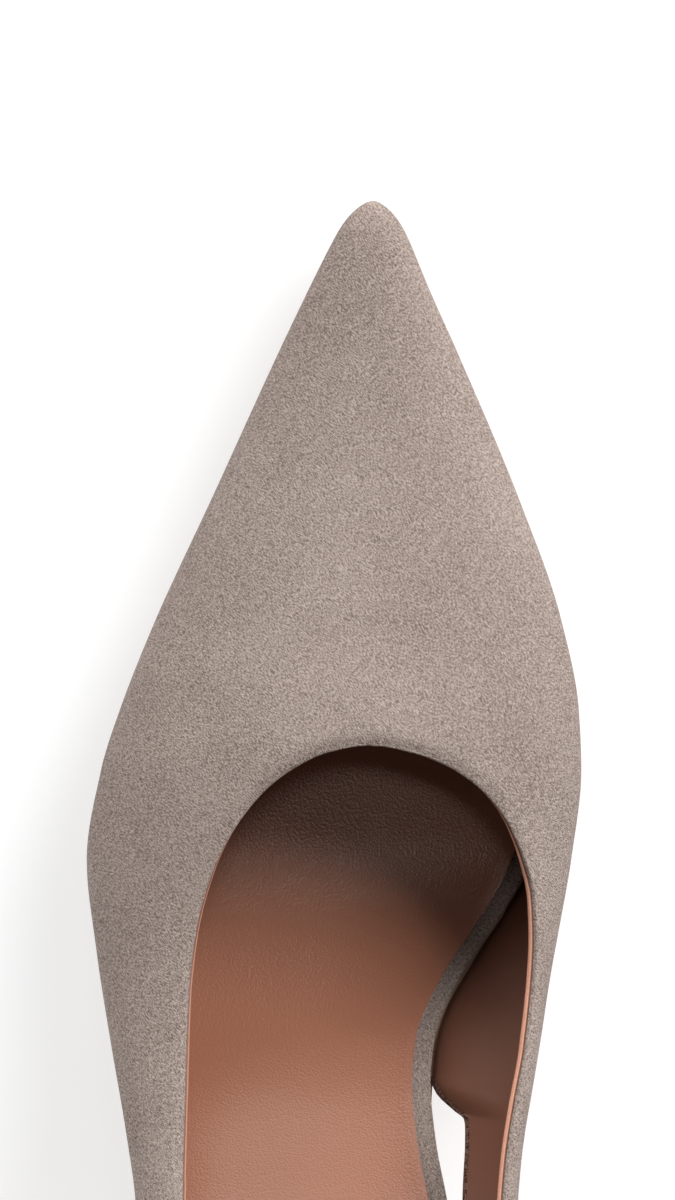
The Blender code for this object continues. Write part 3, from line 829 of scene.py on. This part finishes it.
# Sole leather: pale tan and close-grained, with cloudy tones from tanning and a low waxed gloss
sole_leather, tree, shader = new_material("sole_leather", {"Roughness": 0.5, "Specular IOR Level": 0.4})
cloud_size = 9 * MM
pore_size = 0.5 * MM
where = add_node(tree, "ShaderNodeTexCoord", {}).outputs["Object"]
clouds = add_node(
    tree, "ShaderNodeTexNoise", {"Vector": where, "Scale": 1 / cloud_size, "Detail": 6.0}
).outputs["Fac"]
pores = add_node(
    tree, "ShaderNodeTexNoise", {"Vector": where, "Scale": 1 / pore_size, "Detail": 2.0}
).outputs["Fac"]
finish(tree, shader, pores, strength=0.3, depth=0.1, tones=("#a38267", "#bb9a7e"), spread=0.5, clouds=clouds)


def outsole_edges(station):
    reach = -float(bed("sole_reach", station))
    return [bed_edge(side, station, OUTSOLE_TIP, TOE_ROUNDING, reach) for side in SIDES]


outsole = layer(
    "outsole_leather", bed_stations(OUTSOLE_TIP, HEEL_BREAST - GAP), outsole_edges,
    0.0, OUTSOLE_THICKNESS, (level, level), OUTSOLE_ROLL, sole_leather,
)
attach(outsole, "root")
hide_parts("outsole")


# Heel
# A slim heel, moulded in hard plastic and covered in the upper's suede before it is screwed on from inside.
# Its top is cut to the curve of the heel seat.
TOP_LIFT_HEIGHT = 6.0
HEEL_COLUMNS = ("height", "front", "back", "half_width")
HEEL_SECTIONS = (
    (TOP_LIFT_HEIGHT + GAP, 224.4, 239.6, 7.8),
    (16.0, 222.6, 240.3, 8.9),
    (26.0, 219.0, 242.0, 11.6),
    (35.0, 213.8, 244.3, 15.8),
    (42.0, 209.2, 246.4, 20.2),
    (47.0, 206.8, 247.4, 23.6),
)
HEEL_STRAIGHT = 0.4
HEEL_RINGS = 24
HEEL_TURNS = 40
HEEL_STEPS = [math.sin(math.pi / 2 * k / HEEL_TURNS) for k in range(HEEL_TURNS + 1)]
HEEL_SHARP_ANGLE = math.radians(50)


def heel_ring(front, back, half_width, height):
    """Pairs of points on a section of the heel, lateral and medial, from its breast to its back."""
    pairs = []
    for step in HEEL_STEPS:
        past = max(step - HEEL_STRAIGHT, 0.0) / (1 - HEEL_STRAIGHT)
        half = half_width * math.sqrt(max(1 - past * past, 0.0))
        station = front + (back - front) * step
        pairs.append([(HEEL_X + side * half, station, height) for side in SIDES])
    return pairs


def seat_ring():
    """The heel's top, which follows the underside of the insole."""
    back = HEEL_STATION + INSOLE_BACK_DEPTH - GAP
    pairs = []
    for step in HEEL_STEPS:
        station = HEEL_BREAST + (back - HEEL_BREAST) * step
        z = float(spine("sole_z", station)) + OUTSOLE_THICKNESS
        edges = [bed_edge(side, station, INSOLE_TIP, INSOLE_TIP_ROUNDING, GAP) for side in SIDES]
        pairs.append([(x, station, z) for x in edges])
    return pairs


def heel_section(height):
    """The heel's ring of points at a height."""
    front, back, half_width = (
        float(column(HEEL_SECTIONS, HEEL_COLUMNS, name, height)) for name in ("front", "back", "half_width")
    )
    return heel_ring(front, back, half_width, height)


def make_column(name, rings, material):
    """A closed piece between rings of paired points, the first ring at the top."""
    shape = bmesh.new()
    lines = []
    for pairs in rings:
        loop = [pair[0] for pair in pairs] + [pair[1] for pair in reversed(pairs)]
        lines.append([shape.verts.new(place(*point)) for point in loop])
    size = len(lines[0])
    for above, below in zip(lines, lines[1:]):
        for k in range(size):
            shape.faces.new((above[k], below[k], below[(k + 1) % size], above[(k + 1) % size]))
    for line in (lines[0], lines[-1]):
        for k in range(size // 2 - 1):
            shape.faces.new((line[k], line[k + 1], line[size - 2 - k], line[size - 1 - k]))
    bmesh.ops.remove_doubles(shape, verts=shape.verts[:], dist=MERGE_WITHIN)
    bmesh.ops.recalc_face_normals(shape, faces=shape.faces[:])
    mesh = bpy.data.meshes.new(name)
    shape.to_mesh(mesh)
    shape.free()
    piece = new_piece(name, mesh, material)
    mesh.set_sharp_from_angle(angle=HEEL_SHARP_ANGLE)
    return piece


foot, head = HEEL_SECTIONS[0][0], HEEL_SECTIONS[-1][0]
heights = [head + (foot - head) * k / HEEL_RINGS for k in range(HEEL_RINGS + 1)]
heel = make_column("heel_cover", [seat_ring()] + [heel_section(height) for height in heights], taupe_suede)
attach(heel, "root")
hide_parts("heel")


# Top lift
# The heel's walking tip: a small block of hard dark rubber, moulded to the heel's lowest section and pinned
# under it.

# Lift rubber: dark and dull, with the fine pitted skin that it takes from the mould
lift_rubber, tree, shader = new_material("lift_rubber", {"Roughness": 0.6, "Specular IOR Level": 0.4})
pit_size = 0.4 * MM
where = add_node(tree, "ShaderNodeTexCoord", {}).outputs["Object"]
pits = add_node(
    tree, "ShaderNodeTexNoise", {"Vector": where, "Scale": 1 / pit_size, "Detail": 2.0}
).outputs["Fac"]
finish(tree, shader, pits, strength=0.3, depth=0.1, tones=("#453a34", "#4f443e"))

_, front, back, half_width = HEEL_SECTIONS[0]
rings = [heel_ring(front, back, half_width, height) for height in (TOP_LIFT_HEIGHT, 0.0)]
top_lift = make_column("top_lift_rubber", rings, lift_rubber)
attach(top_lift, "root")
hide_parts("top_lift")


# Stage
# A floor of white paper in a white studio tent, with a wide soft light from the upper right, two cards in
# front that open up the shaded side, and a small overhead light that gives the sock its sheen.
FLOOR_HALF = 4.0

# White paper: matt, and lit from behind as well, so that it stays white around the shoe's soft shadow
white_paper, _, _ = new_material(
    "white_paper",
    {
        "Roughness": 0.9,
        "Base Color": linear("#a0a0a0"),
        "Emission Color": linear("#ffffff"),
        "Emission Strength": 0.68,
    },
)
floor_mesh = bpy.data.meshes.new("floor")
corners = [(x * FLOOR_HALF, y * FLOOR_HALF, 0) for x, y in ((-1, -1), (1, -1), (1, 1), (-1, 1))]
floor_mesh.from_pydata(corners, [], [(0, 1, 2, 3)])
floor = bpy.data.objects.new("floor", floor_mesh)
floor_mesh.materials.append(white_paper)
bpy.context.scene.collection.objects.link(floor)

# The surround is a white tent: bright walls all round, and a dim roof above the camera
world = bpy.data.worlds.new("tent")
world.use_nodes = True
tree = world.node_tree
upward = add_node(
    tree, "ShaderNodeSeparateXYZ", {"Vector": add_node(tree, "ShaderNodeTexCoord", {}).outputs["Generated"]}
).outputs["Z"]
glow = add_node(
    tree, "ShaderNodeMapRange",
    {"Value": upward, "From Min": 0.45, "From Max": 0.8, "To Min": 0.45, "To Max": 0.06},
).outputs["Result"]
tree.nodes["Background"].inputs["Color"].default_value = linear("#ffffff")
tree.links.new(glow, tree.nodes["Background"].inputs["Strength"])
bpy.context.scene.world = world


def softbox(name, spot, aim, width, height, energy):
    """A rectangular soft light at a spot, turned towards aim and left out of the camera's view."""
    light = bpy.data.lights.new(name, "AREA")
    light.shape = "RECTANGLE"
    light.size = width
    light.size_y = height
    light.energy = energy
    lamp = bpy.data.objects.new(name, light)
    lamp.location = spot
    lamp.rotation_euler = (Vector(aim) - Vector(spot)).to_track_quat("-Z", "Y").to_euler()
    lamp.visible_camera = False
    bpy.context.scene.collection.objects.link(lamp)


forepart = (0.0, 0.06, 0.02)
softbox("main_softbox", (0.99, 1.12, 1.32), forepart, width=0.9, height=1.1, energy=42.0)
softbox("toe_card", (0.0, 1.8, 0.74), forepart, width=0.9, height=0.4, energy=6.0)
softbox("left_card", (-1.2, 1.1, 0.6), forepart, width=1.0, height=0.8, energy=10.0)
softbox("overhead_softbox", (0.14, 0.38, 2.4), forepart, width=0.4, height=0.2, energy=2.6)

# The photo's camera hangs straight above the forepart with a long lens, toe up. The waist and heel are
# out of its frame.
CAMERA_X = 0.0007
CAMERA_Y = 0.06
CAMERA_HEIGHT = 2.0
FOCUS_HEIGHT = 0.02
FIELD = 0.192
lens = bpy.data.cameras.new("camera")
lens.sensor_width = 36.0
lens.lens = lens.sensor_width * (CAMERA_HEIGHT - FOCUS_HEIGHT) / FIELD
camera = bpy.data.objects.new("camera", lens)
camera.location = (CAMERA_X, CAMERA_Y, CAMERA_HEIGHT)
bpy.context.scene.collection.objects.link(camera)
bpy.context.scene.camera = camera
bpy.context.scene.view_settings.view_transform = "Standard"
